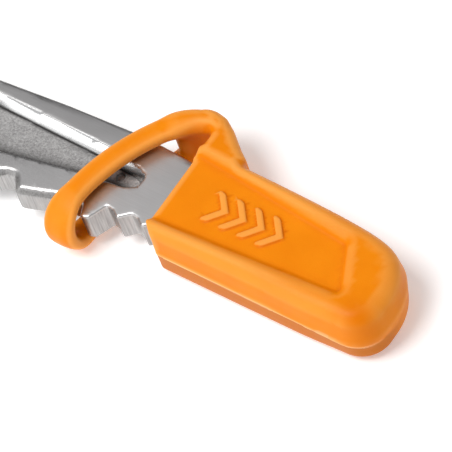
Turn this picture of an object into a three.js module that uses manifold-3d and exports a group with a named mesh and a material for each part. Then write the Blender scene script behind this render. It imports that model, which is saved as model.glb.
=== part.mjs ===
// Ice-axe pick with its slip-on rubber protector, lying on its side.
// The forged pick is bolted into an axe head by its tang. The protector is a moulded sheath in two
// half shells, with a retaining loop that the blade passes through, which hooks in behind the teeth.
// Millimetres. X runs towards the pick's point, Y towards its spine, Z up out of the face seen from above.
// Each shape is drawn about the blade's mid plane, with x = 0 near the sheath's mouth, y = 0 on the spine.
import * as THREE from "three";
import { mergeVertices } from "three/addons/utils/BufferGeometryUtils.js";
import Module from "manifold-3d";

const wasm = await Module();
wasm.setup();

// Blade
const BLADE_THICKNESS = 9.6;
const TIP_X = 60;
const TIP_Y = -14.6;
const TIP_THICKNESS = 3.2;
const TAPER_START_X = 2;
const TOOTH_PITCH = 7.2;
const TOOTH_DEPTH = 2.6;
const HIDDEN_TEETH = 7;
const POCKET_DEPTH = 3.3;
const POCKET_WALL_RUN = 1.3;

// Tang and its two screws
const TANG_END_X = -108;
const TANG_MID_Y = -12.5;
const SCREW_X = [-98, -74];
const SCREW_HOLE_RADIUS = 4.3;
const SCREW_RADIUS = 3.9;
const SCREW_HEAD_RADIUS = 7;
const SCREW_HEAD_HEIGHT = 4.2;
const SOCKET_RADIUS = 2.9;
const SOCKET_DEPTH = 2.4;
const WASHER_RADIUS = 7.6;
const WASHER_THICKNESS = 1.2;
const NUT_ACROSS_CORNERS = 15;
const NUT_HEIGHT = 3.9;
const STACK_GAP = 0.05;

// Sheath
const MOUTH_X = 0.6;
const SHEATH_THICKNESS = 20.2;
const SHEATH_BOTTOM_Y = -24.7;
const SHEATH_TOP_AT_MOUTH_Y = 6.1;
const SHEATH_EDGE_RADIUS = 5;
const NOSE_X = 69.2;
const NOSE_TOP_RADIUS = 16.6;
const NOSE_BOTTOM_RADIUS = 10;
const NOSE_MID_Y = SHEATH_BOTTOM_Y + NOSE_BOTTOM_RADIUS;
const PAD_DEPTH = 1.7;
const PARTING_GAP = 0.1;

// Cavity that takes the blade
const CAVITY_END_X = 61.5;
const CAVITY_FLOOR_Y = -22.4;
const CAVITY_TOP_Y = 1.2;
const CAVITY_HALF_AT_MOUTH = 5.3;
const CAVITY_HALF_AT_END = 2.3;

// Retaining loop: a band bent on an arc, with a long hole through it
const ARC_CENTRE = new THREE.Vector2(35.65, -29.8);
const ARC_RADIUS = 57;
const BAND_HALF_WIDTH = 3.1;
const LOOP_HALF_THICKNESS = 9.6;
const HOLE_HALF_WIDTH = 5.7;
const LOOP_BOTTOM_Y = -32.8;
const BAND_THICKNESS = 3.9;
const HOLE_TOP_Y = 5.9;
const PIVOT_ANGLE = 139.9;
const LOOP_END_ANGLE = 184;
const FLEX_BACK = 8;
const FLEX_FORWARD = 22;
const PIVOT_GAP = 0.35;

const rad = THREE.MathUtils.degToRad;

// A mesh geometry as a manifold solid, and back again.
function solid(geometry) {
  const plain = geometry.index ? geometry.clone() : geometry;
  plain.deleteAttribute("normal");
  plain.deleteAttribute("uv");
  const merged = mergeVertices(plain, 1e-4);
  return new wasm.Manifold(
    new wasm.Mesh({
      numProp: 3,
      vertProperties: new Float32Array(merged.attributes.position.array),
      triVerts: new Uint32Array(merged.index.array),
    }),
  );
}

function geometryOf(body) {
  const { vertProperties, triVerts } = body.getMesh();
  const geometry = new THREE.BufferGeometry();
  geometry.setAttribute("position", new THREE.BufferAttribute(vertProperties, 3));
  geometry.setIndex(new THREE.BufferAttribute(triVerts, 1));
  const flat = geometry.toNonIndexed();
  flat.computeVertexNormals();
  return flat;
}

// A closed outline through corner points [x, y, radius]. A short arc rounds each corner that has room for it.
function outline(corners, steps = 4) {
  const points = [];
  corners.forEach(([x, y, radius = 0], i) => {
    const corner = new THREE.Vector2(x, y);
    const before = new THREE.Vector2(...corners[(i + corners.length - 1) % corners.length]);
    const after = new THREE.Vector2(...corners[(i + 1) % corners.length]);
    const back = before.sub(corner).normalize();
    const ahead = after.sub(corner).normalize();
    const half = Math.acos(THREE.MathUtils.clamp(back.dot(ahead), -1, 1)) / 2;
    const reach = radius / Math.tan(half);
    if (reach < 0.2) {
      points.push(corner);
      return;
    }
    const start = corner.clone().addScaledVector(back, reach);
    const end = corner.clone().addScaledVector(ahead, reach);
    points.push(...new THREE.QuadraticBezierCurve(start, corner, end).getPoints(steps));
  });
  return new THREE.Shape(points);
}

// Prisms: of an XY outline about z = 0, of a (y, z) outline along X, and of an (x, z) outline along Y.
function prismZ(shape, thickness, options = {}) {
  const made = new THREE.ExtrudeGeometry(shape, { depth: thickness, bevelEnabled: false, ...options });
  return solid(made.translate(0, 0, -thickness / 2));
}

function prismX(shape, fromX, toX) {
  const made = new THREE.ExtrudeGeometry(shape, { depth: toX - fromX, bevelEnabled: false });
  const turn = new THREE.Matrix4().makeBasis(
    new THREE.Vector3(0, 1, 0),
    new THREE.Vector3(0, 0, 1),
    new THREE.Vector3(1, 0, 0),
  );
  return solid(made.applyMatrix4(turn).translate(fromX, 0, 0));
}

function prismY(shape, fromY, toY) {
  const made = new THREE.ExtrudeGeometry(shape, { depth: toY - fromY, bevelEnabled: false });
  return solid(made.rotateX(Math.PI / 2).translate(0, toY, 0));
}

function block(fromX, toX, fromY, toY, fromZ, toZ) {
  const made = new THREE.BoxGeometry(toX - fromX, toY - fromY, toZ - fromZ);
  return solid(made.translate((fromX + toX) / 2, (fromY + toY) / 2, (fromZ + toZ) / 2));
}

function rod(x, y, fromZ, toZ, radius, sides = 28) {
  const made = new THREE.CylinderGeometry(radius, radius, toZ - fromZ, sides);
  return solid(made.rotateX(Math.PI / 2).translate(x, y, (fromZ + toZ) / 2));
}

// A point near the loop's arc: the angle in degrees, and the distance outwards from the middle of the band.
function onArc(angle, offset = 0) {
  const reach = ARC_RADIUS + offset;
  return new THREE.Vector2(
    ARC_CENTRE.x + reach * Math.cos(rad(angle)),
    ARC_CENTRE.y + reach * Math.sin(rad(angle)),
  );
}

function arcPoints(fromAngle, toAngle, offset, steps) {
  const points = [];
  const turn = (toAngle - fromAngle) / steps;
  for (let i = 0; i <= steps; i++) points.push(onArc(fromAngle + turn * i, offset));
  return points;
}

// The blade's underside from tang to point: two blunt steps, the loop's notch, then the small teeth.
function underside() {
  const steps = [
    [-62, -23, 2],
    [-58, -24.2, 1.5],
    [-55, -28, 2.2],
    [-50, -28, 2.5],
    [-41.8, -23.4, 1.2],
    [-40, -23.6, 1.2],
    [-37.6, -27.6, 1.8],
    [-33.5, -26.4, 3],
    [-25, -23.8, 3],
    [-19.6, -21.9, 1.5],
    [-17.4, -24.2, 0.9],
  ];
  const teeth = [];
  for (let i = 0; i < HIDDEN_TEETH + 3; i++) {
    const peakX = -16 + i * TOOTH_PITCH;
    const peakY = -24 + Math.min(i, 1) * 1.6 + Math.max(i - 1, 0) * 0.62;
    const depth = i === 0 ? TOOTH_DEPTH + 0.8 : TOOTH_DEPTH;
    teeth.push([peakX, peakY, 0.35]);
    teeth.push([peakX + TOOTH_PITCH * 0.4, peakY + depth, 0.7]);
    teeth.push([peakX + TOOTH_PITCH * 0.68, peakY + depth - 0.3, 0.7]);
  }
  return [...steps, ...teeth];
}

function bladeSolid() {
  const spine = [
    [TIP_X, TIP_Y - 1.2, 0.3],
    [TIP_X, TIP_Y, 0.6],
    [48, -5.2, 6],
    [30, -1.2, 10],
    [0, 0, 8],
    [-17, 1.4, 10],
    [-40, 0.6, 10],
    [-62, -0.9, 4],
    [TANG_END_X, -3, 6],
    [TANG_END_X, -22, 6],
  ];
  const flat = prismZ(outline([...underside(), ...spine], 3), BLADE_THICKNESS);

  const slope = (BLADE_THICKNESS - TIP_THICKNESS) / 2 / (TIP_X - TAPER_START_X);
  const halfAt = (x) => BLADE_THICKNESS / 2 + slope * (TAPER_START_X - x);
  const left = TANG_END_X - 1;
  const right = TIP_X + 1;
  const wedge = new THREE.Shape([
    new THREE.Vector2(left, -halfAt(left)),
    new THREE.Vector2(right, -halfAt(right)),
    new THREE.Vector2(right, halfAt(right)),
    new THREE.Vector2(left, halfAt(left)),
  ]);
  let blade = flat.intersect(prismY(wedge, -40, 20));

  for (const side of [1, -1]) blade = blade.subtract(pocket(side));
  for (const x of SCREW_X) blade = blade.subtract(rod(x, TANG_MID_Y, -20, 20, SCREW_HOLE_RADIUS));
  return blade;
}

// The forged recess in one face: its walls slope in from the edge to a smaller floor.
function pocket(side) {
  const shape = outline([
    [-62, -20.6, 3],
    [-36, -17.3, 20],
    [-9.6, -13.8, 3.6],
    [-9.6, -6.2, 3.6],
    [-24, -5.2, 20],
    [-62, -4, 3],
  ]);
  const made = prismZ(shape, 1, {
    bevelEnabled: true,
    bevelThickness: POCKET_DEPTH,
    bevelSize: POCKET_WALL_RUN,
    bevelOffset: -POCKET_WALL_RUN,
    bevelSegments: 1,
  });
  return made.translate([0, 0, side * (BLADE_THICKNESS / 2 + 0.5)]);
}

// The outline of the sheath: straight underside, sloping top, and a nose of two arcs.
function sheathOutline(behindMouth) {
  const shape = new THREE.Shape();
  const left = MOUTH_X - behindMouth;
  const bottomArcX = NOSE_X - NOSE_BOTTOM_RADIUS;
  const topArcX = NOSE_X - NOSE_TOP_RADIUS;
  const slope = (NOSE_MID_Y + NOSE_TOP_RADIUS - SHEATH_TOP_AT_MOUTH_Y) / (topArcX - MOUTH_X);
  shape.moveTo(left, SHEATH_BOTTOM_Y);
  shape.lineTo(bottomArcX, SHEATH_BOTTOM_Y);
  shape.absarc(bottomArcX, NOSE_MID_Y, NOSE_BOTTOM_RADIUS, -Math.PI / 2, 0, false);
  shape.absarc(topArcX, NOSE_MID_Y, NOSE_TOP_RADIUS, 0.12, Math.PI / 2 - 0.09, false);
  shape.lineTo(left, SHEATH_TOP_AT_MOUTH_Y - slope * behindMouth);
  return shape;
}

function sheathOuter() {
  const body = prismZ(sheathOutline(10), SHEATH_THICKNESS - 2 * SHEATH_EDGE_RADIUS, {
    bevelEnabled: true,
    bevelThickness: SHEATH_EDGE_RADIUS,
    bevelSize: SHEATH_EDGE_RADIUS,
    bevelOffset: -SHEATH_EDGE_RADIUS,
    bevelSegments: 4,
    curveSegments: 10,
  });
  const behind = block(-60, MOUTH_X, -60, 60, -40, 40);
  const chin = outline([
    [MOUTH_X - 5, SHEATH_BOTTOM_Y + 3, 0],
    [MOUTH_X - 5, SHEATH_BOTTOM_Y - 1, 0],
    [MOUTH_X + 3.6, SHEATH_BOTTOM_Y - 1, 0],
    [MOUTH_X - 0.2, SHEATH_BOTTOM_Y + 3, 0],
  ]);
  return body.subtract(behind).subtract(prismZ(chin, 40));
}

// The shallow trapezium sunk in the sheath's face, between the raised rails.
function padRecess(side) {
  const shape = outline([
    [-5, -19.9, 0],
    [56, -17.3, 1.6],
    [49.8, -4.9, 1.6],
    [-5, 1.9, 0],
  ]);
  const depth = 10;
  const middle = SHEATH_THICKNESS / 2 - PAD_DEPTH + depth / 2;
  return prismZ(shape, depth).translate([0, 0, side * middle]);
}

// The slot for the blade. It narrows towards the nose both ways, so the sheath pulls straight off.
function cavity() {
  const shape = outline([
    [-5, CAVITY_FLOOR_Y, 0],
    [CAVITY_END_X, CAVITY_FLOOR_Y, 3],
    [CAVITY_END_X, -12.6, 3],
    [50, -3.4, 6],
    [30, 0.2, 8],
    [-5, CAVITY_TOP_Y, 0],
  ]);
  const taper = new THREE.Shape([
    new THREE.Vector2(-5, -CAVITY_HALF_AT_MOUTH),
    new THREE.Vector2(4, -CAVITY_HALF_AT_MOUTH),
    new THREE.Vector2(CAVITY_END_X + 1, -CAVITY_HALF_AT_END),
    new THREE.Vector2(CAVITY_END_X + 1, CAVITY_HALF_AT_END),
    new THREE.Vector2(4, CAVITY_HALF_AT_MOUTH),
    new THREE.Vector2(-5, CAVITY_HALF_AT_MOUTH),
  ]);
  return prismZ(shape, 2 * CAVITY_HALF_AT_MOUTH + 2).intersect(prismY(taper, -40, 20));
}

// The neck that carries the loop. It rises from the sheath's top edge and bends back over the spine.
function neck() {
  const bandEnd = PIVOT_ANGLE + 3.5;
  const inner = arcPoints(134.5, bandEnd, -BAND_HALF_WIDTH, 4);
  const outer = arcPoints(bandEnd, 132.5, BAND_HALF_WIDTH, 4);
  const crown = new THREE.CatmullRomCurve3([
    new THREE.Vector3(outer.at(-1).x, outer.at(-1).y, 0),
    new THREE.Vector3(-1.6, 13.6, 0),
    new THREE.Vector3(2, 12.9, 0),
    new THREE.Vector3(5.8, 9.8, 0),
    new THREE.Vector3(10.6, 4.4, 0),
  ]);
  const root = [
    new THREE.Vector2(10.6, 2.6),
    new THREE.Vector2(MOUTH_X, 2.6),
    new THREE.Vector2(MOUTH_X, 5.8),
  ];
  const top = crown.getPoints(10).slice(1).map((p) => new THREE.Vector2(p.x, p.y));
  const shape = new THREE.Shape([...root, ...inner, ...outer, ...top]);
  return prismZ(shape, 2 * LOOP_HALF_THICKNESS).subtract(pivotRelief());
}

// The room that the loop's root needs in the neck: round its end, and beside it at both ends of the flex.
function pivotRelief() {
  const reach = BAND_HALF_WIDTH + PIVOT_GAP;
  const pivot = onArc(PIVOT_ANGLE);
  const along = PIVOT_ANGLE + 90;
  const at = (from, angle, distance) =>
    new THREE.Vector2(from.x + distance * Math.cos(rad(angle)), from.y + distance * Math.sin(rad(angle)));
  const forward = along + FLEX_FORWARD + 2;
  const back = along - FLEX_BACK - 2;
  const points = [];
  const arcSteps = 12;
  const turn = (back + 180 - forward) / arcSteps;
  for (let i = 0; i <= arcSteps; i++) points.push(at(pivot, forward + 90 + turn * i, reach));
  const first = points[0];
  const last = points.at(-1);
  points.push(at(last, back, 30), at(first, forward, 30));
  return prismZ(new THREE.Shape(points), 60);
}

function shellSolid(side) {
  let hollow = sheathOuter().add(neck()).subtract(cavity());
  for (const face of [1, -1]) hollow = hollow.subtract(padRecess(face));
  const far = 40;
  const keep = side > 0 ? [PARTING_GAP / 2, far] : [-far, -PARTING_GAP / 2];
  return hollow.intersect(block(-60, 120, -60, 60, ...keep));
}

function loopSolid() {
  const inner = arcPoints(PIVOT_ANGLE, LOOP_END_ANGLE, -BAND_HALF_WIDTH, 14);
  const outer = arcPoints(LOOP_END_ANGLE, PIVOT_ANGLE, BAND_HALF_WIDTH, 14);
  const band = prismZ(new THREE.Shape([...inner, ...outer]), 2 * LOOP_HALF_THICKNESS);
  const pivot = onArc(PIVOT_ANGLE);
  const root = rod(pivot.x, pivot.y, -LOOP_HALF_THICKNESS, LOOP_HALF_THICKNESS, BAND_HALF_WIDTH, 24);
  const rounded = outline(
    [
      [20, -LOOP_HALF_THICKNESS - 1, 0],
      [20, LOOP_HALF_THICKNESS + 1, 0],
      [0, LOOP_HALF_THICKNESS + 1, 0],
      [0, LOOP_HALF_THICKNESS, 0],
      [LOOP_BOTTOM_Y, LOOP_HALF_THICKNESS, 9],
      [LOOP_BOTTOM_Y, -LOOP_HALF_THICKNESS, 9],
      [0, -LOOP_HALF_THICKNESS, 0],
      [0, -LOOP_HALF_THICKNESS - 1, 0],
    ],
    6,
  );
  const hole = outline(
    [
      [HOLE_TOP_Y, -HOLE_HALF_WIDTH, 5],
      [HOLE_TOP_Y, HOLE_HALF_WIDTH, 5],
      [LOOP_BOTTOM_Y + BAND_THICKNESS, HOLE_HALF_WIDTH, 5.2],
      [LOOP_BOTTOM_Y + BAND_THICKNESS, -HOLE_HALF_WIDTH, 5.2],
    ],
    6,
  );
  return band.add(root).intersect(prismX(rounded, -60, 40)).subtract(prismX(hole, -60, 40));
}

// Fasteners, each drawn at its screw's place.
function screwSolid(x) {
  const seat = BLADE_THICKNESS / 2 + STACK_GAP + WASHER_THICKNESS + STACK_GAP;
  const end = -seat - NUT_HEIGHT + 0.2;
  const dome = [
    new THREE.Vector2(0, 0),
    new THREE.Vector2(SCREW_HEAD_RADIUS, 0),
    new THREE.Vector2(SCREW_HEAD_RADIUS * 0.95, SCREW_HEAD_HEIGHT * 0.42),
    new THREE.Vector2(SCREW_HEAD_RADIUS * 0.78, SCREW_HEAD_HEIGHT * 0.8),
    new THREE.Vector2(SCREW_HEAD_RADIUS * 0.55, SCREW_HEAD_HEIGHT),
    new THREE.Vector2(0, SCREW_HEAD_HEIGHT),
  ];
  const head = new THREE.LatheGeometry(dome, 28).rotateX(Math.PI / 2).translate(x, TANG_MID_Y, seat);
  const top = seat + SCREW_HEAD_HEIGHT;
  const socket = rod(x, TANG_MID_Y, top - SOCKET_DEPTH, top + 1, SOCKET_RADIUS, 6);
  const shank = rod(x, TANG_MID_Y, end, seat + 1, SCREW_RADIUS, 24);
  return solid(head).add(shank).subtract(socket);
}

function washerSolid(x, side) {
  const near = BLADE_THICKNESS / 2 + STACK_GAP;
  const z = [side * near, side * (near + WASHER_THICKNESS)].sort((a, b) => a - b);
  return rod(x, TANG_MID_Y, z[0], z[1], WASHER_RADIUS).subtract(
    rod(x, TANG_MID_Y, z[0] - 1, z[1] + 1, SCREW_HOLE_RADIUS, 24),
  );
}

function nutSolid(x) {
  const top = -(BLADE_THICKNESS / 2 + WASHER_THICKNESS + 2 * STACK_GAP);
  const hex = rod(x, TANG_MID_Y, top - NUT_HEIGHT, top, NUT_ACROSS_CORNERS / 2, 6);
  return hex.subtract(rod(x, TANG_MID_Y, top - NUT_HEIGHT - 1, top + 1, SCREW_RADIUS + 0.2, 24));
}

const steel = { color: 0xa5a3a1, roughness: 0.35, metalness: 1 };
const zinc = { color: 0xb9bcc0, roughness: 0.3, metalness: 1 };
const orangeRubber = { color: 0xf58a14, roughness: 0.5, metalness: 0 };

const assembly = new THREE.Group();
const drawn = new THREE.Group();
assembly.add(drawn);

function addPart(name, body, finish) {
  const mesh = new THREE.Mesh(geometryOf(body), new THREE.MeshStandardMaterial(finish));
  mesh.name = name;
  drawn.add(mesh);
}

addPart("pick_blade", bladeSolid(), steel);
addPart("sheath_front_shell", shellSolid(1), orangeRubber);
addPart("sheath_rear_shell", shellSolid(-1), orangeRubber);
addPart("retaining_loop", loopSolid(), orangeRubber);
SCREW_X.forEach((x, i) => {
  const place = ["end", "inner"][i];
  addPart(`${place}_screw`, screwSolid(x), zinc);
  addPart(`${place}_front_washer`, washerSolid(x, 1), zinc);
  addPart(`${place}_rear_washer`, washerSolid(x, -1), zinc);
  addPart(`${place}_nut`, nutSolid(x), zinc);
});

// The part's origin is the middle of its box, on the surface that it lies on.
const box = new THREE.Box3().setFromObject(drawn);
const middle = box.getCenter(new THREE.Vector3());
drawn.position.set(-middle.x, -middle.y, -box.min.z);

export default assembly;
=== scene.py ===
"""An ice-axe pick with its slip-on rubber protector, on a pale floor in soft studio light.

Shapes are signed distance fields in millimetres, drawn about the blade's mid plane as in the part's
source. There x runs towards the point, y towards the spine and z up, with x = 0 near the sheath's mouth
and y = 0 on the spine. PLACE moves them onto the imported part.
"""

import math

import bpy
import numpy as np
import openvdb
from mathutils import Matrix, Vector


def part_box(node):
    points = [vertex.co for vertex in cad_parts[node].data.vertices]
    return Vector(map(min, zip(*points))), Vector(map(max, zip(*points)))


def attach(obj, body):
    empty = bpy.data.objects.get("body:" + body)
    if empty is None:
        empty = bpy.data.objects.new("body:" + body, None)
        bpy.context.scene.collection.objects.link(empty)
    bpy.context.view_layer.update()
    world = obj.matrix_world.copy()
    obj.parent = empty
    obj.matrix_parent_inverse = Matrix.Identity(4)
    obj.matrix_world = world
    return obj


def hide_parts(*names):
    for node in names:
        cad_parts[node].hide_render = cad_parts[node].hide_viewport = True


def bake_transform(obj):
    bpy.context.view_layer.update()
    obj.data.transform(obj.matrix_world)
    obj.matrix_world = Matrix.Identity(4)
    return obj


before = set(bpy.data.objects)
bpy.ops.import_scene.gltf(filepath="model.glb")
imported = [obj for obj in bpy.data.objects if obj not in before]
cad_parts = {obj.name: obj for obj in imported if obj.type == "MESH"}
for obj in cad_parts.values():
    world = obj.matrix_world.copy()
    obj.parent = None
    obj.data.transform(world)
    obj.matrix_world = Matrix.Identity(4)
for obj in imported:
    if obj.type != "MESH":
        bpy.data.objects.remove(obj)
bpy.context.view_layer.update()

MM = 0.001
TANG_END_X = -108.0
SHEATH_HALF = 10.1
LOOP_BOTTOM_Y = -32.8
PLACE = np.array(
    [
        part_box("pick_blade")[0].x / MM - TANG_END_X,
        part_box("retaining_loop")[0].y / MM - LOOP_BOTTOM_Y,
        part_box("sheath_rear_shell")[0].z / MM + SHEATH_HALF,
    ]
)


def placed(x, y, z):
    """A drawn point, in the row frame in metres."""
    return tuple((np.array([x, y, z]) + PLACE) * MM)


# ---------------------------------------------------------------- fields


def smooth_min(a, b, k):
    """The nearer of two fields, with a fillet of about k where they cross."""
    h = np.clip(0.5 + 0.5 * (b - a) / k, 0, 1)
    return b + (a - b) * h - k * h * (1 - h)


def smooth_max(a, b, k):
    return -smooth_min(-a, -b, k)


def smooth_step(a, b, v):
    t = np.clip((v - a) / (b - a), 0, 1)
    return t * t * (3 - 2 * t)


def rounded(corners, steps=5):
    """The outline through corners (x, y, radius), each rounded by a short arc."""
    points = []
    for i, (x, y, radius) in enumerate(corners):
        corner = Vector((x, y))
        back = (Vector(corners[i - 1][:2]) - corner).normalized()
        ahead = (Vector(corners[(i + 1) % len(corners)][:2]) - corner).normalized()
        half = math.acos(max(-1, min(1, back.dot(ahead)))) / 2
        reach = radius / math.tan(half)
        if reach < 0.1:
            points.append((x, y))
            continue
        start, end = corner + back * reach, corner + ahead * reach
        for t in (j / steps for j in range(steps + 1)):
            point = start * (1 - t) ** 2 + corner * 2 * t * (1 - t) + end * t**2
            points.append(tuple(point))
    return points


def polygon(x, y, points):
    """Signed distance to a closed outline, negative inside."""
    shape = np.broadcast(x, y).shape
    nearest = np.full(shape, 1e9, np.float32)
    inside = np.zeros(shape, bool)
    for (ax, ay), (bx, by) in zip(points[-1:] + points[:-1], points):
        ex, ey = bx - ax, by - ay
        t = np.clip(((x - ax) * ex + (y - ay) * ey) / (ex * ex + ey * ey + 1e-12), 0, 1)
        nearest = np.minimum(nearest, (x - ax - ex * t) ** 2 + (y - ay - ey * t) ** 2)
        if ey:
            inside ^= ((ay > y) != (by > y)) & (x < ax + (y - ay) * ex / ey)
    return np.where(inside, -1, 1) * np.sqrt(nearest)


def slab(outline, over, edge):
    """A prism with rounded edges: outline is the distance in the plane, over the height above its face."""
    a, b = outline + edge, over + edge
    return np.minimum(np.maximum(a, b), 0) + np.hypot(np.maximum(a, 0), np.maximum(b, 0)) - edge


def cylinder(x, y, at, radius):
    return np.hypot(x - at[0], y - at[1]) - radius


# ---------------------------------------------------------------- meshes

VOXEL = 0.33
FINE_VOXEL = 0.2
FLATTEN = 0.02
FIELD_REACH = 4.0


def mesh_of(name, field, low, high, voxel):
    """A closed mesh of a field's surface, in the row frame, its points moved onto the surface."""
    low, high = np.array(low, float), np.array(high, float)
    count = np.ceil((high - low) / voxel).astype(int) + 1
    axes = [(low[i] + voxel * np.arange(count[i])).astype(np.float32) for i in range(3)]
    x, y, z = axes[0][:, None, None], axes[1][None, :, None], axes[2][None, None, :]
    values = np.ascontiguousarray(np.broadcast_to(field(x, y, z), count), np.float32) / voxel
    grid = openvdb.FloatGrid(background=FIELD_REACH)
    grid.copyFromArray(np.clip(values, -FIELD_REACH, FIELD_REACH))
    points, triangles, quads = grid.convertToPolygons(0.0, FLATTEN)
    points = on_surface(field, low + points * voxel, voxel)
    faces = [tuple(f[::-1]) for f in np.asarray(quads).tolist()]
    faces += [tuple(f[::-1]) for f in np.asarray(triangles).tolist()]
    mesh = bpy.data.meshes.new(name)
    mesh.from_pydata(((points + PLACE) * MM).tolist(), [], faces)
    mesh.validate()
    mesh.shade_smooth()
    obj = bpy.data.objects.new(name, mesh)
    bpy.context.scene.collection.objects.link(obj)
    return obj, points


def on_surface(field, points, voxel, rounds=3, eps=0.02):
    """Moves points along the field's slope until they lie on its surface, at most half a voxel a round."""
    for _ in range(rounds):
        value = field(*points.T)
        slope = np.stack(
            [
                field(*(points + step).T) - field(*(points - step).T)
                for step in np.eye(3) * eps
            ],
            1,
        ) / (2 * eps)
        steep = np.maximum((slope**2).sum(1), 0.2)
        move = -(value / steep)[:, None] * slope
        far = np.linalg.norm(move, axis=1, keepdims=True)
        points = points + move * np.minimum(1, 0.5 * voxel / np.maximum(far, 1e-9))
    return points


def bending(field, points, eps=1.0):
    """How convex (+) or hollow (-) the surface is, from the field's Laplacian."""
    nearby = sum(field(*(points + step).T) + field(*(points - step).T) for step in np.eye(3) * eps)
    return (nearby - 6 * field(*points.T)) / eps**2


def paint(obj, name, values):
    """Stores one number for each point, which the materials read by its name."""
    attribute = obj.data.attributes.new(name, "FLOAT", "POINT")
    attribute.data.foreach_set("value", np.asarray(values, np.float32))


# ---------------------------------------------------------------- the pick

BLADE_HALF = 4.8
TIP_HALF = 1.6
TIP = (60.0, -14.6)
TAPER_START_X = 2.0
TOOTH_PITCH = 7.2
TOOTH_DEPTH = 2.6
FIRST_TOOTH_DEPTH = 3.4
TEETH = 10
POCKET_DEPTH = 3.1
POCKET_WALL_RUN = 0.83
SHARP_CHAMFER = 0.3
BLUNT_CHAMFER = 1.6
DIMPLE_AT = (-16.7, -10.4)
DIMPLE_RADIUS = 1.2
DIMPLE_FLOOR_Z = 0.6
SCREW_AT = [(-98.0, -12.5), (-74.0, -12.5)]
SCREW_HOLE_RADIUS = 4.3


def underside():
    """The lower edge from tang to point: two blunt steps, the loop's notch, then the small teeth."""
    corners = [
        (-62, -23, 2), (-58, -24.2, 1.5), (-55, -28, 2.2), (-50, -28, 2.5), (-43.2, -24.2, 1.2),
        (-40.4, -23.7, 1.2), (-37.6, -27.6, 1.6), (-33.5, -26.4, 3), (-25, -23.8, 3),
        (-19.6, -21.9, 1.5), (-17.6, -26.3, 0.9),
    ]
    for i in range(TEETH):
        x = -16 + i * TOOTH_PITCH
        y = -24 + min(i, 1) * 1.6 + max(i - 1, 0) * 0.62
        depth = TOOTH_DEPTH if i else FIRST_TOOTH_DEPTH
        corners.append((x, y, 0.5) if i else (x + 0.6, y - 1.7, 0.9))
        corners += [(x + 2.9, y + depth, 0.8), (x + 4.9, y + depth - 0.3, 0.8)]
    return corners


SPINE = [
    (TIP[0], TIP[1] - 1.2, 0.3), (TIP[0], TIP[1], 0.6), (48, -5.2, 6), (30, -1.2, 10), (0, 0, 8),
    (-17, 1.4, 10), (-40, 0.6, 10), (-62, -0.9, 4), (TANG_END_X, -3, 6), (TANG_END_X, -22, 6),
]
BLADE_OUTLINE = rounded(underside() + SPINE)
POCKET_OUTLINE = rounded(
    [
        (-62, -20.6, 3), (-47, -19.2, 20), (-25, -15.4, 20), (-12.6, -14.2, 2.5), (-8.9, -12.4, 2.5),
        (-9.0, -8.4, 2.2), (-12.5, -7.0, 3), (-23.4, -5.4, 20), (-62, -4, 3),
    ]
)


def upper_wall(x, y):
    """From 0 at the pocket's lower wall to 1 at its upper wall."""
    return smooth_step(-15.0, -8.0, y - 0.03 * (x + 40))


def wall_lean(x, y, depth):
    """How far the pocket's wall comes in from its outline at a depth. The upper wall leans the most."""
    return POCKET_WALL_RUN * depth * (0.2 + 0.8 * upper_wall(x, y))


def half_thickness(x):
    """Half the blade's thickness, which tapers towards the point."""
    slope = (BLADE_HALF - TIP_HALF) / (TIP[0] - TAPER_START_X)
    return BLADE_HALF - slope * np.maximum(x - TAPER_START_X, 0)


def pocket(x, y, z):
    """The forged recess in each face. Its upper wall leans out into a wide bright chamfer."""
    depth = BLADE_HALF - np.abs(z)
    wall = polygon(x, y, POCKET_OUTLINE) + wall_lean(x, y, depth)
    return smooth_max(wall, depth - POCKET_DEPTH, 0.5)


def chamfer_width(x, y):
    """Narrow along most edges, and wide on the blunt steps of the underside."""
    low = smooth_step(-14, -18, y)
    blunt = smooth_step(-19, -24, x)
    return SHARP_CHAMFER + (BLUNT_CHAMFER - SHARP_CHAMFER) * low * blunt


def blade(x, y, z):
    """The pick: outline, taper, a face that falls away to the spine, chamfers, pockets and holes."""
    edge = polygon(x, y, BLADE_OUTLINE)
    fall = 0.03 * np.maximum(y + 6, 0) ** 1.5 * smooth_step(-8, -24, x)
    over = np.abs(z) - half_thickness(x) + fall
    body = smooth_max(edge, over, 0.15)
    body = smooth_max(body, (edge + over + chamfer_width(x, y)) * 0.7071, 0.35)
    body = smooth_max(body, -pocket(x, y, z), 0.2)
    dimple = np.maximum(cylinder(x, y, DIMPLE_AT, DIMPLE_RADIUS), DIMPLE_FLOOR_Z - np.abs(z))
    body = smooth_max(body, -dimple, 0.2)
    for at in SCREW_AT:
        body = smooth_max(body, -cylinder(x, y, at, SCREW_HOLE_RADIUS), 0.3)
    return body


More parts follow.
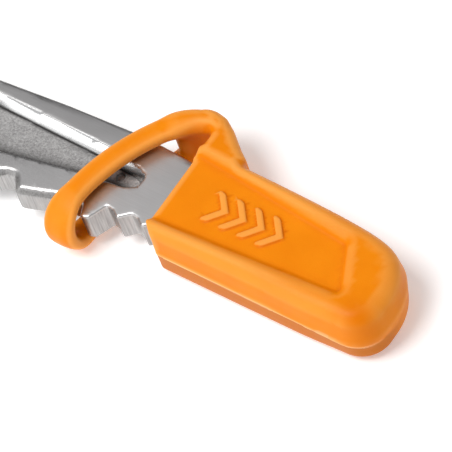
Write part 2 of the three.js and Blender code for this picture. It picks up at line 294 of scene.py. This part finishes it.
def paint_steel(obj, points):
    """Marks the pocket's floor, its walls and rim that are painted near white as a highlight, its creases
    painted dark as shade, the sawn edges, and the lower face towards the tang, painted in shade.
    """
    x, y, z = points.T
    outline = polygon(x, y, POCKET_OUTLINE)
    inside = smooth_step(0.25, -0.25, outline)
    depth = BLADE_HALF - np.abs(z)
    upper = upper_wall(x, y)
    foot = -outline - wall_lean(x, y, POCKET_DEPTH)
    paint(obj, "floor", inside * smooth_step(POCKET_DEPTH - 0.4, POCKET_DEPTH - 0.1, depth))
    # Painted highlight: the upper wall and the rim at the pocket's right end are marked for a near-white
    # colour, over their real polish.
    rim_highlight = smooth_step(-14, -11, x) * smooth_step(2.2, 1.4, depth)
    paint(obj, "wall", inside * smooth_step(0.1, 0.3, depth) * np.maximum(upper, rim_highlight))
    # Painted shade: a dark line along the foot of the pocket's walls, narrower at the upper wall.
    crease_shade = smooth_step(1.2, 2.4, depth) * np.exp(-((foot / (2.1 - 1.6 * upper)) ** 2))
    paint(obj, "painted_crease_shade", inside * crease_shade * smooth_step(-10, -15, x))
    under_face = smooth_step(-0.35, -0.7, np.abs(z) - half_thickness(x))
    edges = (1 - inside) * under_face * smooth_step(-8, -12, y)
    # Painted shade: the lower face towards the tang takes the darker sawn colour, beside the sawn edges'
    # own real colour.
    tang_shade = 0.7 * (1 - inside) * smooth_step(-12, -60, x) * smooth_step(-12, -18, y)
    paint(obj, "sawn_and_shade", np.maximum(edges, tang_shade))


def make_pick():
    low = (TANG_END_X - 1.5, -29.5, -5.7)
    high = (TIP[0] + 1.5, 2.5, 5.7)
    obj, points = mesh_of("pick_blade_forging", blade, low, high, VOXEL)
    paint_steel(obj, points)
    obj.data.materials.append(brushed_steel())
    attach(obj, "pick")
    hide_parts("pick_blade")


# ---------------------------------------------------------------- the protector

MOUTH_X = 0.9
SHEATH_BOTTOM_Y = -24.65
SHEATH_BOTTOM_SLOPE = 0.009
SHEATH_TOP_Y = 6.2
SHEATH_TOP_SLOPE = 0.078
NOSE_AT = (51.3, -13.4)
NOSE_RADIUS = 17.2
NOSE_LOW_RADIUS = 9.0
SHEATH_EDGE = 3.6
PAD_Z = 7.9
PAD_WALL_RUN = 1.0
CHIN_TOP_Y = -21.6
CHIN_SLANT = 0.9
PARTING_DROP = 1.8
PARTING_OVERHANG = 0.4
ARROWS = 4
ARROW_START_X = 13.0
ARROW_PITCH = 5.5
ARROW_REACH = 4.2
ARROW_MIDDLE_Y = -10.2
ARROW_HALF_SPAN = 4.6
ARROW_SLANT = 0.85
ARM_HALF_WIDTH = 0.85
ARROW_HEIGHT = 0.5
NECK_HALF = 9.7
NECK_EDGE = 2.6
CAVITY_HALF = 5.0
CAVITY_NARROWING = 2.4
TUNNEL_TOP_Y = 3.6
TUNNEL_BOTTOM_Y = -6
TUNNEL_END_X = 1.4
TUNNEL_HALF = 5.4
ARC_AT = (35.65, -29.8)
ARC_RADIUS = 57.3
BAND_HALF_WIDTH = 3.15
BAND_HALF_THICKNESS = 2.1
BAND_POWER = 2.6
LOOP_MIDDLE_Z = 7.65
CROWN_START = math.radians(37.2)
CROWN_PULL = 86.0
CROWN_HALF_THICKNESS = 2.7
CROWN_HALF_WIDTH = 8.6
PAD_OUTLINE = rounded([(-6, -19.9, 0), (56.0, -17.2, 1.2), (49.8, -5.0, 1.2), (-6, 1.6, 0)])
CAVITY_OUTLINE = rounded(
    [
        (-6, -22.9, 0), (20, -21.6, 2), (61, -17.4, 2), (61, -12.8, 2), (48, -4.2, 6), (30, -0.5, 8),
        (-6, 0.6, 0),
    ]
)
NECK_OUTLINE = rounded(
    [
        (13.6, 0, 0), (13.2, 5.2, 0.8), (10.3, 7.2, 4), (5.4, 11.2, 4), (2.0, 13.3, 3), (-1.5, 13.8, 4),
        (-5.0, 12.9, 1.5), (-3.6, 10.9, 0.8), (-0.2, 10.9, 2.2), (0.9, 6.7, 3), (0.9, 0, 0),
    ]
)


def chevrons(x, y):
    """Four raised arrowheads on the pad, pointing the way the sheath goes on."""
    across = np.abs(y - ARROW_MIDDLE_Y)
    nearest = None
    for i in range(ARROWS):
        at = ARROW_START_X + i * ARROW_PITCH
        arm = np.abs(x - at - ARROW_REACH + ARROW_SLANT * across) * 0.76 - ARM_HALF_WIDTH
        arrow = smooth_max(arm, across - ARROW_HALF_SPAN, 0.8)
        nearest = arrow if nearest is None else np.minimum(nearest, arrow)
    return nearest


def towards_nose(x):
    """From 0 near the mouth to 1 at the nose, slowly at first."""
    return np.clip((x - 8) / 62, 0, 1.2) ** 2


def parting(x, y, z):
    """The mould line along the underside: the front half's overhang, a band along the flash that is
    painted lighter, partly as the real flash and partly as a painted highlight, and the rear half below
    it, which is painted in shade.
    """
    line = z + PARTING_DROP * towards_nose(x)
    fade = smooth_step(69, 64, x) * smooth_step(-1, 1, x) * smooth_step(-8, -18, y)
    lip = np.where(line > 0, np.exp(-line / 1.4), np.exp(-((line / 0.16) ** 2)))
    # The rear half below the line, which the rubber material paints in shade.
    rear = smooth_step(0.0, -0.6, line) * smooth_step(-1, 1, x) * smooth_step(-8, -18, y)
    return fade * lip, fade * np.exp(-(((line - 0.05) / 0.3) ** 2)), rear


def neck(x, y, z):
    """The part that rises from the sheath's top edge at the mouth, flush with the rails."""
    return slab(polygon(x, y, NECK_OUTLINE), np.abs(z) - NECK_HALF, NECK_EDGE)


def rounded_sheath(x, y, z):
    """The sheath without its pad: a rounded slab that thins towards the nose, with its mouth cut off."""
    along = towards_nose(x)
    height = np.abs(z)
    top = (y - SHEATH_TOP_Y + SHEATH_TOP_SLOPE * (x - MOUTH_X)) * 0.997
    nose = np.hypot(np.maximum(x - NOSE_AT[0], 0), np.maximum(y - NOSE_AT[1], 0)) - NOSE_RADIUS
    bottom = SHEATH_BOTTOM_Y - SHEATH_BOTTOM_SLOPE * x - y
    edge = smooth_max(slab(nose, bottom, NOSE_LOW_RADIUS), top, 3)
    edge = edge + height * (0.04 + 0.08 * smooth_step(44, 64, x))
    half = np.where(z > 0, SHEATH_HALF - 1.2 * along, SHEATH_HALF - 0.3 * along)
    body = slab(edge, height - half, SHEATH_EDGE)
    body = body - PARTING_OVERHANG * parting(x, y, z)[0]
    chin = (MOUTH_X - x + np.maximum(CHIN_TOP_Y - y, 0) * CHIN_SLANT) * 0.9
    return smooth_max(body, chin, 0.7)


def sheath(x, y, z):
    """The sheath and the neck, with the sunk pad and its arrowheads on both faces."""
    body = smooth_min(rounded_sheath(x, y, z), neck(x, y, z), 2.0)
    height = np.abs(z)
    wall = polygon(x, y, PAD_OUTLINE) - PAD_WALL_RUN * (height - PAD_Z)
    recess = smooth_max(wall / math.hypot(1, PAD_WALL_RUN), PAD_Z - height, 0.5)
    body = smooth_max(body, -recess, 1.2)
    raised = slab(chevrons(x, y), height - PAD_Z - ARROW_HEIGHT, 0.2)
    return smooth_min(body, np.maximum(raised, PAD_Z - 1 - height), 0.3)


def around(x, y):
    """Angle along the loop's arc, and distance out from the middle of the band. The crown draws in."""
    px, py = x - ARC_AT[0], y - ARC_AT[1]
    turn = np.arctan2(py, -px)
    drawn_in = CROWN_PULL * np.maximum(turn - CROWN_START, 0) ** 2
    return turn, np.hypot(px, py) - ARC_RADIUS + drawn_in


def loop(x, y, z):
    """The band that runs down both sides of the blade on an arc and closes below the teeth.

    Its section is a rounded rectangle, written as a superellipse.
    """
    end = LOOP_BOTTOM_Y + BAND_HALF_THICKNESS + LOOP_MIDDLE_Z - ARC_AT[1]
    turn, out = around(x, y)
    past = ARC_RADIUS * (turn - math.asin(end / ARC_RADIUS))
    across = np.hypot(np.minimum(past, 0), z) - LOOP_MIDDLE_Z
    slim = 1.9 * smooth_step(CROWN_START, CROWN_START + 0.17, turn)
    wide = BAND_HALF_WIDTH + 1.3 * smooth_step(3, -8, past) - 0.5 * slim
    a, b = np.abs((out - 0.5 * slim) / wide), np.abs(across / BAND_HALF_THICKNESS)
    reach = (a**BAND_POWER + b**BAND_POWER + 1e-6) ** (1 / BAND_POWER)
    less = BAND_POWER - 1
    steep = np.hypot(a**less / wide, b**less / BAND_HALF_THICKNESS) / reach**less + 1e-6
    return smooth_max((reach - 1) / steep, (turn - CROWN_START - 0.2) * ARC_RADIUS, 1.5)


def crown(x, y, z):
    """The web that joins the band's two sides over the spine and carries them into the neck."""
    turn, out = around(x, y)
    web = slab(np.abs(out - 0.4) - CROWN_HALF_THICKNESS, np.abs(z) - CROWN_HALF_WIDTH, 2.2)
    web = smooth_max(web, (CROWN_START - turn) * ARC_RADIUS, 4.0)
    return smooth_max(web, (turn - CROWN_START - 0.24) * ARC_RADIUS, 1.0)


def protector(x, y, z):
    """The whole moulding, hollowed for the blade, with a tunnel through the neck for the spine."""
    body = smooth_min(loop(x, y, z), crown(x, y, z), 3.0)
    body = smooth_min(sheath(x, y, z), body, 1.6)
    half = CAVITY_HALF - CAVITY_NARROWING * np.clip((x - 3) / 58, 0, 1)
    cavity = smooth_max(polygon(x, y, CAVITY_OUTLINE), np.abs(z) - half, 0.6)
    body = smooth_max(body, -cavity, 0.5)
    across = np.maximum(y - TUNNEL_TOP_Y, TUNNEL_BOTTOM_Y - y)
    tunnel = slab(np.maximum(across, x - TUNNEL_END_X), np.abs(z) - TUNNEL_HALF, 1.5)
    return smooth_max(body, -tunnel, 0.6)


def paint_rubber(obj, points):
    """Paints the flash line lighter, partly flash and partly a painted highlight; the rear half below it
    darker, a painted shade; the convex edges lighter, a painted highlight; and the hollows and the nose's
    low corner darker, a painted shade.
    """
    _, flash_and_highlight, rear = parting(*points.T)
    bend = bending(protector, points)
    paint(obj, "flash_and_highlight", flash_and_highlight)
    paint(obj, "rear", rear * (1 - flash_and_highlight))
    # The nose's low corner: the painted highlight is left out there and painted shade is put in.
    corner = np.exp(-(((points[:, 0] - 64) / 5) ** 2) - ((points[:, 1] + 21) / 4) ** 2)
    # Painted highlight: convex edges get a lighter colour, left out on the rear half and at the nose's low
    # corner.
    paint(obj, "crest_highlight", np.clip(1.9 * bend - 0.14, 0, 0.6) * (1 - 0.7 * rear) * (1 - corner))
    # Painted shade at the nose's low corner.
    corner_shade = 0.5 * corner * (1 - rear) * (1 - flash_and_highlight)
    paint(obj, "hollow_shade", np.maximum(np.clip(-0.9 * bend - 0.1, 0, 1), corner_shade))


def make_protector():
    low = (-27, -35, -11.2)
    high = (73.5, 15, 11.2)
    obj, points = mesh_of("rubber_protector", protector, low, high, VOXEL)
    paint_rubber(obj, points)
    obj.data.materials.append(orange_rubber())
    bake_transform(obj)
    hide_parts("sheath_front_shell", "sheath_rear_shell", "retaining_loop")


# ---------------------------------------------------------------- fasteners

SCREW_RADIUS = 3.9
FACE_GAP = 0.05
WASHER_RADIUS = 7.6
WASHER_THICKNESS = 1.2
HEAD_RADIUS = 7.0
HEAD_HEIGHT = 4.2
DOME_RADIUS = 8.4
SOCKET_DEPTH = 2.4
SOCKET_HALF_FLATS = 2.5
THREAD_PITCH = 1.25
THREAD_DEPTH = 0.22
NUT_HEIGHT = 3.9
NUT_HALF_FLATS = 6.5
WASHER_FACE = BLADE_HALF + FACE_GAP + WASHER_THICKNESS + FACE_GAP


def hexagon(x, y, half):
    """Distance to a hexagon with corners on the y axis."""
    slanted = np.maximum(np.abs(0.5 * x + 0.866 * y), np.abs(0.5 * x - 0.866 * y))
    return np.maximum(np.abs(x), slanted) - half


def screw(x, y, z):
    """A button head screw: domed head with a hexagon socket, plain shank, threaded end."""
    radius = np.hypot(x, y)
    head_top = WASHER_FACE + HEAD_HEIGHT
    dome = np.sqrt(radius**2 + (z - head_top + DOME_RADIUS) ** 2) - DOME_RADIUS
    head = smooth_max(smooth_max(dome, radius - HEAD_RADIUS, 0.5), WASHER_FACE - z, 0.3)
    socket = np.maximum(hexagon(x, y, SOCKET_HALF_FLATS), head_top - SOCKET_DEPTH - z)
    head = smooth_max(head, -socket, 0.25)
    turn = np.arctan2(y, x) / (2 * math.pi)
    thread = THREAD_DEPTH * np.abs(((z / THREAD_PITCH - turn) % 1) * 2 - 1)
    threaded = smooth_step(-4.4, -5.2, z)
    shank = radius - SCREW_RADIUS + thread * threaded
    end = -(WASHER_FACE + NUT_HEIGHT - 0.2)
    shank = smooth_max(smooth_max(shank, end - z, 0.4), z - WASHER_FACE - 1, 0.2)
    return smooth_min(head, shank, 0.2)


def front_washer(x, y, z):
    middle_radius = (WASHER_RADIUS + SCREW_HOLE_RADIUS) / 2
    ring = np.abs(np.hypot(x, y) - middle_radius) - (WASHER_RADIUS - SCREW_HOLE_RADIUS) / 2
    middle = BLADE_HALF + FACE_GAP + WASHER_THICKNESS / 2
    return slab(ring, np.abs(z - middle) - WASHER_THICKNESS / 2, 0.25)


def rear_washer(x, y, z):
    return front_washer(x, y, -z)


def nut(x, y, z):
    """A hexagon nut with chamfered corners and a countersunk hole."""
    radius = np.hypot(x, y)
    top = -WASHER_FACE
    over = np.maximum(z - top, top - NUT_HEIGHT - z)
    body = smooth_max(hexagon(x, y, NUT_HALF_FLATS), over, 0.2)
    body = smooth_max(body, (radius - 6.7 + 1.6 * (over + 0.35)) * 0.6, 0.2)
    hole = np.minimum(radius - SCREW_RADIUS - 0.1, (radius - 4.6 - over) * 0.7)
    return smooth_max(body, -hole, 0.15)


FASTENERS = {
    "screw": (screw, -10.4, 11.2, HEAD_RADIUS),
    "front_washer": (front_washer, 4.4, 6.5, WASHER_RADIUS),
    "rear_washer": (rear_washer, -6.5, -4.4, WASHER_RADIUS),
    "nut": (nut, -10.4, -5.6, 7.6),
}


def make_fastener(name, shape, at, metal):
    """One fastener about its screw's axis. Its shape is a field, the heights around it, and its radius."""
    field, z_low, z_high, radius = shape
    ax, ay = at
    reach = radius + 0.8
    obj, _ = mesh_of(
        f"{name}_detail",
        lambda x, y, z: field(x - ax, y - ay, z),
        (ax - reach, ay - reach, z_low),
        (ax + reach, ay + reach, z_high),
        FINE_VOXEL,
    )
    obj.data.materials.append(metal)
    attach(obj, "pick")
    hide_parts(name)


def make_fasteners():
    metal = zinc_plate()
    for place, at in zip(("end", "inner"), SCREW_AT):
        for kind, shape in FASTENERS.items():
            make_fastener(f"{place}_{kind}", shape, at, metal)


# ---------------------------------------------------------------- materials


class Nodes:
    """A material and the few node calls that the looks below are made of."""

    def __init__(self, name, **constants):
        self.material = bpy.data.materials.new(name)
        self.material.use_nodes = True
        self.tree = self.material.node_tree
        self.shader = self.tree.nodes["Principled BSDF"]
        for socket, value in constants.items():
            self.shader.inputs[socket.replace("_", " ")].default_value = value
        self.place = self.add("ShaderNodeTexCoord").outputs["Object"]

    def add(self, kind, **settings):
        node = self.tree.nodes.new(kind)
        for key, value in settings.items():
            setattr(node, key, value)
        return node

    def link(self, source, target):
        self.tree.links.new(source, target)

    def stretched(self, scale):
        node = self.add("ShaderNodeMapping")
        node.inputs["Scale"].default_value = scale
        self.link(self.place, node.inputs["Vector"])
        return node.outputs["Vector"]

    def noise(self, scale=(1000, 1000, 1000), detail=3.0, roughness=0.55):
        node = self.add("ShaderNodeTexNoise")
        node.inputs["Scale"].default_value = 1.0
        node.inputs["Detail"].default_value = detail
        node.inputs["Roughness"].default_value = roughness
        self.link(self.stretched(scale), node.inputs["Vector"])
        return node.outputs["Fac"]

    def math(self, operation, a, b):
        node = self.add("ShaderNodeMath", operation=operation)
        for socket, value in zip(node.inputs, (a, b)):
            if isinstance(value, (int, float)):
                socket.default_value = value
            else:
                self.link(value, socket)
        return node.outputs[0]

    def between(self, fac, low, high, from_low=0.0, from_high=1.0):
        node = self.add("ShaderNodeMapRange")
        self.link(fac, node.inputs["Value"])
        limits = {"From Min": from_low, "From Max": from_high, "To Min": low, "To Max": high}
        for key, value in limits.items():
            node.inputs[key].default_value = value
        return node.outputs["Result"]

    def mix(self, fac, a, b):
        node = self.add("ShaderNodeMix", data_type="RGBA")
        self.link(fac, node.inputs["Factor"])
        for socket, value in ((node.inputs["A"], a), (node.inputs["B"], b)):
            if isinstance(value, tuple):
                socket.default_value = (*value, 1.0)
            else:
                self.link(value, socket)
        return node.outputs["Result"]

    def attribute(self, name):
        return self.add("ShaderNodeAttribute", attribute_name=name).outputs["Fac"]

    def bump(self, height, distance, strength=1.0, normal=None):
        node = self.add("ShaderNodeBump")
        node.inputs["Strength"].default_value = strength
        node.inputs["Distance"].default_value = distance
        self.link(height, node.inputs["Height"])
        if normal is not None:
            self.link(normal, node.inputs["Normal"])
        return node.outputs["Normal"]

    def to(self, socket, source):
        self.link(source, self.shader.inputs[socket])


def orange_rubber():
    """Moulded elastomer: satin, faintly translucent, with a fine grain and slight mottling, plus painted
    highlights on its edges and flash line and painted shade in its hollows and on its rear half.
    """
    m = Nodes(
        "orange_elastomer",
        Specular_IOR_Level=0.3,
        IOR=1.22,
        Subsurface_Weight=0.06,
        Subsurface_Radius=(0.0016, 0.0006, 0.0002),
        Subsurface_Scale=1.0,
    )
    mottle = m.noise((90, 90, 90), 4)
    grain = m.noise((2600, 2600, 2600), 2)
    scuffs = m.noise((60, 700, 700), 5, 0.7)
    colour = m.mix(m.between(mottle, 0, 1, 0.3, 0.7), (0.84, 0.225, 0.001), (0.9, 0.26, 0.003))
    # Painted highlight: the convex edges are lightened.
    colour = m.mix(m.math("MULTIPLY", m.attribute("crest_highlight"), 0.7), colour, (1.0, 0.5, 0.13))
    # Painted shade: the rear half below the mould line is darkened.
    colour = m.mix(m.math("MULTIPLY", m.attribute("rear"), 0.85), colour, (0.56, 0.15, 0.001))
    # Painted shade: the hollows and the nose's low corner are darkened.
    colour = m.mix(m.math("MULTIPLY", m.attribute("hollow_shade"), 0.6), colour, (0.62, 0.1, 0.001))
    # The flash line is lightened: partly the real flash, partly a painted highlight.
    m.to("Base Color", m.mix(m.math("MULTIPLY", m.attribute("flash_and_highlight"), 0.8), colour, (1.0, 0.66, 0.32)))
    worn = m.between(scuffs, -0.04, 0.06, 0.3, 0.7)
    m.to("Roughness", m.math("ADD", worn, m.between(grain, 0.32, 0.42)))
    m.to("Normal", m.bump(grain, 0.00006, 0.5))
    return m.material


def brushed_steel():
    """Forged stainless steel: brushed flats, grainy pocket floor, sawn edges, chamfers painted near white
    as a highlight over their real smooth polish, dark painted shade in the creases and painted shade
    towards the tang.
    """
    m = Nodes("forged_steel", Metallic=1.0)
    brush = m.noise((60, 4200, 1500), 4, 0.7)
    cloud = m.noise((35, 60, 35), 3)
    grit = m.noise((1900, 1900, 1900), 3, 0.7)
    floor = m.attribute("floor")
    wall = m.attribute("wall")
    flat = m.mix(m.between(cloud, 0, 1, 0.3, 0.7), (0.54, 0.53, 0.52), (0.66, 0.65, 0.64))
    flat = m.mix(m.between(brush, 0, 0.2, 0.35, 0.75), flat, (0.35, 0.34, 0.34))
    saw_marks = m.noise((2500, 2500, 90), 3, 0.7)
    sawn = m.mix(m.between(saw_marks, 0, 1, 0.35, 0.7), (0.3, 0.29, 0.285), (0.52, 0.51, 0.5))
    # Painted highlight: the marked walls get a near-white colour over their real smoother polish.
    bright = m.mix(wall, m.mix(m.attribute("sawn_and_shade"), flat, sawn), (0.95, 0.95, 0.95))
    sandy = m.mix(m.between(grit, 0, 1, 0.35, 0.65), (0.34, 0.33, 0.325), (0.56, 0.55, 0.54))
    # Painted shade: the creases are near black.
    m.to("Base Color", m.mix(m.attribute("painted_crease_shade"), m.mix(floor, bright, sandy), (0.03, 0.028, 0.027)))
    rough = m.math("SUBTRACT", m.between(brush, 0.3, 0.42, 0.3, 0.7), m.math("MULTIPLY", wall, 0.14))
    m.to("Roughness", m.math("ADD", rough, m.math("MULTIPLY", floor, 0.34)))
    lines = m.bump(brush, 0.00004, 0.35)
    height = m.math("MULTIPLY", grit, floor)
    m.to("Normal", m.bump(height, 0.00018, 0.8, lines))
    return m.material


def zinc_plate():
    """Bright zinc with a faint spangle and fine turning marks."""
    m = Nodes("zinc_plate", Metallic=1.0)
    spots = m.noise((420, 420, 420), 4)
    rings = m.noise((1500, 1500, 300), 2)
    m.to("Base Color", m.mix(m.between(spots, 0, 1, 0.3, 0.7), (0.5, 0.51, 0.53), (0.68, 0.69, 0.7)))
    m.to("Roughness", m.between(spots, 0.24, 0.4, 0.3, 0.7))
    m.to("Normal", m.bump(rings, 0.00003, 0.3))
    return m.material


def floor_paint():
    """A pale matt floor that is lit a little from within, so that it reads as white."""
    m = Nodes("pale_floor")
    m.to("Base Color", m.mix(m.noise((6, 6, 6), 3), (0.9, 0.9, 0.9), (0.93, 0.93, 0.93)))
    m.to("Roughness", m.between(m.noise((40, 40, 40), 3), 0.6, 0.75))
    m.shader.inputs["Emission Color"].default_value = (1, 1, 1, 1)
    m.shader.inputs["Emission Strength"].default_value = 0.27
    return m.material


# ---------------------------------------------------------------- studio

VIEW_RIGHT = Vector((0.811, 0.548, -0.208))
VIEW_UP = Vector((-0.371, 0.754, 0.541))
VIEW_WIDTH = 0.113
CAMERA_DISTANCE = 1.0
AIM_RIGHT = 0.0079
AIM_DOWN = 0.0158
SENSOR = 36.0


def make_camera():
    """A long lens, rolled as the pick lies in the picture. It aims just ahead of the sheath's mouth."""
    right = VIEW_RIGHT.normalized()
    back = right.cross(VIEW_UP).normalized()
    up = back.cross(right)
    aim = Vector(placed(0, 0, BLADE_HALF)) + right * AIM_RIGHT - up * AIM_DOWN
    data = bpy.data.cameras.new("camera")
    data.sensor_width = SENSOR
    data.lens = SENSOR * CAMERA_DISTANCE / VIEW_WIDTH
    data.clip_start, data.clip_end = 0.05, 20
    camera = bpy.data.objects.new("camera", data)
    camera.matrix_world = Matrix.Translation(aim + back * CAMERA_DISTANCE) @ Matrix(
        (right, up, back)
    ).transposed().to_4x4()
    bpy.context.scene.collection.objects.link(camera)
    bpy.context.scene.camera = camera


def softbox(name, at, size, power):
    """An area light that faces the part."""
    data = bpy.data.lights.new(name, "AREA")
    data.shape = "RECTANGLE"
    data.size, data.size_y = size
    data.energy = power
    lamp = bpy.data.objects.new(name, data)
    lamp.location = at
    lamp.rotation_euler = (-Vector(at)).to_track_quat("-Z", "Y").to_euler()
    bpy.context.scene.collection.objects.link(lamp)


DARK_CARD = Vector((-0.42, 0.8, 0.43)).normalized()
LIGHT_CARD = Vector((-0.5, 0.3, 0.81)).normalized()


def lobe(tree, direction, middle, start, full, value):
    """A factor that goes from 1 to value as the direction comes near the middle one."""
    dot = tree.nodes.new("ShaderNodeVectorMath")
    dot.operation = "DOT_PRODUCT"
    dot.inputs[1].default_value = middle
    tree.links.new(direction, dot.inputs[0])
    factor = tree.nodes.new("ShaderNodeMapRange")
    factor.interpolation_type = "SMOOTHSTEP"
    limits = {"From Min": start, "From Max": full, "To Min": 1.0, "To Max": value}
    for key, number in limits.items():
        factor.inputs[key].default_value = number
    tree.links.new(dot.outputs["Value"], factor.inputs["Value"])
    return factor.outputs["Result"]


def make_sky(tree):
    """An even grey, lighter low down, with a pale card and a dark card for the steel to reflect."""
    direction = tree.nodes.new("ShaderNodeTexCoord").outputs["Generated"]
    split = tree.nodes.new("ShaderNodeSeparateXYZ")
    tree.links.new(direction, split.inputs["Vector"])
    ramp = tree.nodes.new("ShaderNodeValToRGB")
    stops = ramp.color_ramp.elements
    stops[0].position, stops[0].color = 0.1, (0.42, 0.42, 0.42, 1)
    stops[1].position, stops[1].color = 0.75, (0.38, 0.38, 0.39, 1)
    tree.links.new(split.outputs["Z"], ramp.inputs["Fac"])
    both = tree.nodes.new("ShaderNodeMath")
    both.operation = "MULTIPLY"
    tree.links.new(lobe(tree, direction, DARK_CARD, 0.9, 0.98, 0.1), both.inputs[0])
    tree.links.new(lobe(tree, direction, LIGHT_CARD, 0.88, 0.98, 1.7), both.inputs[1])
    background = tree.nodes["Background"]
    tree.links.new(ramp.outputs["Color"], background.inputs["Color"])
    tree.links.new(both.outputs["Value"], background.inputs["Strength"])


def make_studio():
    mesh = bpy.data.meshes.new("floor")
    far = 4.0
    corners = [(-far, -far, 0), (far, -far, 0), (far, far, 0), (-far, far, 0)]
    mesh.from_pydata(corners, [], [(0, 1, 2, 3)])
    floor = bpy.data.objects.new("floor", mesh)
    bpy.context.scene.collection.objects.link(floor)
    mesh.materials.append(floor_paint())
    world = bpy.data.worlds.new("studio")
    bpy.context.scene.world = world
    world.use_nodes = True
    make_sky(world.node_tree)
    softbox("key", (-0.15, -0.4, 1.0), (0.5, 0.5), 9)
    softbox("card", (-0.54, -1.04, 0.24), (0.7, 0.4), 1.1)
    bpy.context.scene.view_settings.view_transform = "Standard"


make_camera()
make_studio()
make_pick()
make_protector()
make_fasteners()
